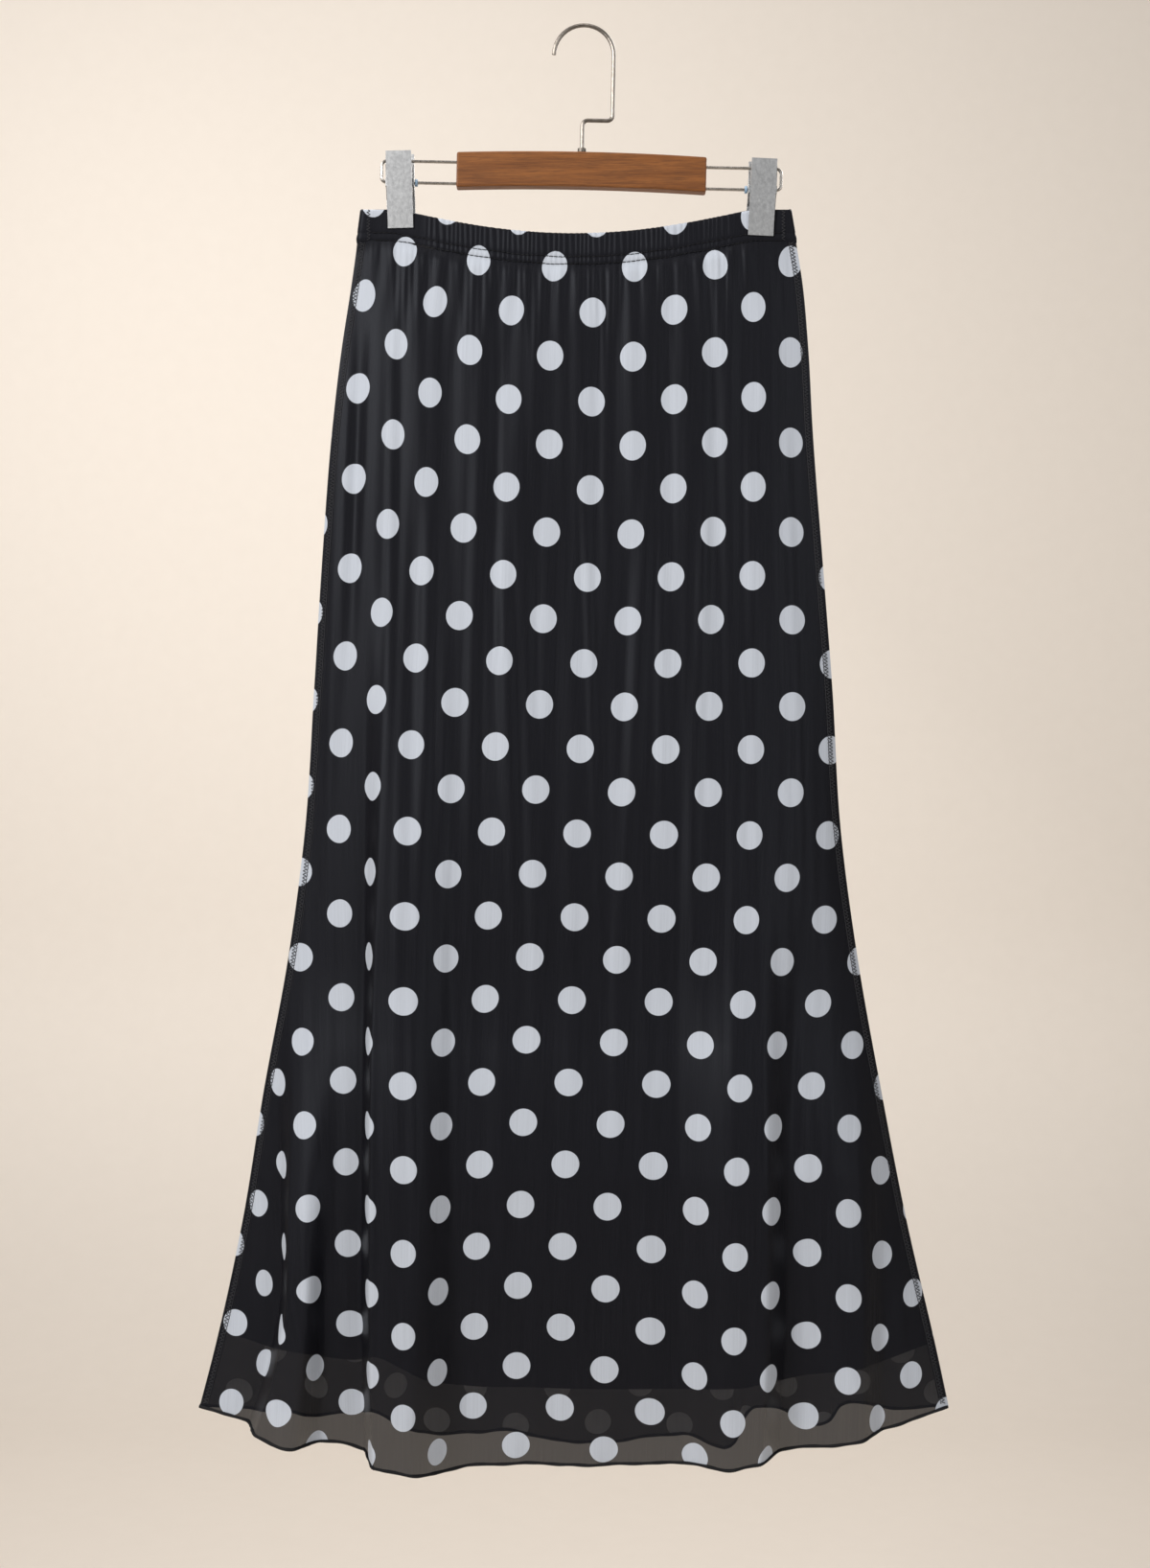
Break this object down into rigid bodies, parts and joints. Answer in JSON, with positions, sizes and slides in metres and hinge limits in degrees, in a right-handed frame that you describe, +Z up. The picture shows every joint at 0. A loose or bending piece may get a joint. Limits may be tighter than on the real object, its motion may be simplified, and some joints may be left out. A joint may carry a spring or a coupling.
{
  "type": "fishtail skirt on a clip hanger",
  "caption": "Long fishtail skirt of sheer polka-dot mesh over a shorter black lining, with a ribbed elastic waist, hung flat by two clips from a wooden-bar hanger.",
  "frame": {"origin": "underside of the hook's crown, where a rail carries the hanger", "axes": "+Z up, +X to the right as the front is seen, -Y out of the skirt's front"},
  "size_m": [0.568, 0.1086, 1.0868],
  "materials": {
    "dotted_mesh": "fine sheer stretch mesh, black with pale grey printed dots, faint sheen",
    "lining": "opaque black knit, matt",
    "stained_wood": "stained and lacquered, satin",
    "satin_steel": "satin",
    "plastic_stop": "clear bluish plastic"
  },
  "bodies": {
    "root": {"skirt_front": "dotted_mesh", "skirt_back": "dotted_mesh", "waistband": "dotted_mesh", "lining_front": "lining", "lining_back": "lining", "hanger_bar": "stained_wood", "hook": "satin_steel", "hook_collar": "satin_steel", "wire_loop_left": "satin_steel", "wire_loop_right": "satin_steel", "clip_front_left": "satin_steel", "clip_front_right": "satin_steel", "clip_rear_left": "satin_steel", "clip_rear_right": "satin_steel", "clip_spring_left": "satin_steel", "clip_spring_right": "satin_steel", "wire_stop_left": "plastic_stop", "wire_stop_right": "plastic_stop"}
  },
  "joints": []
}
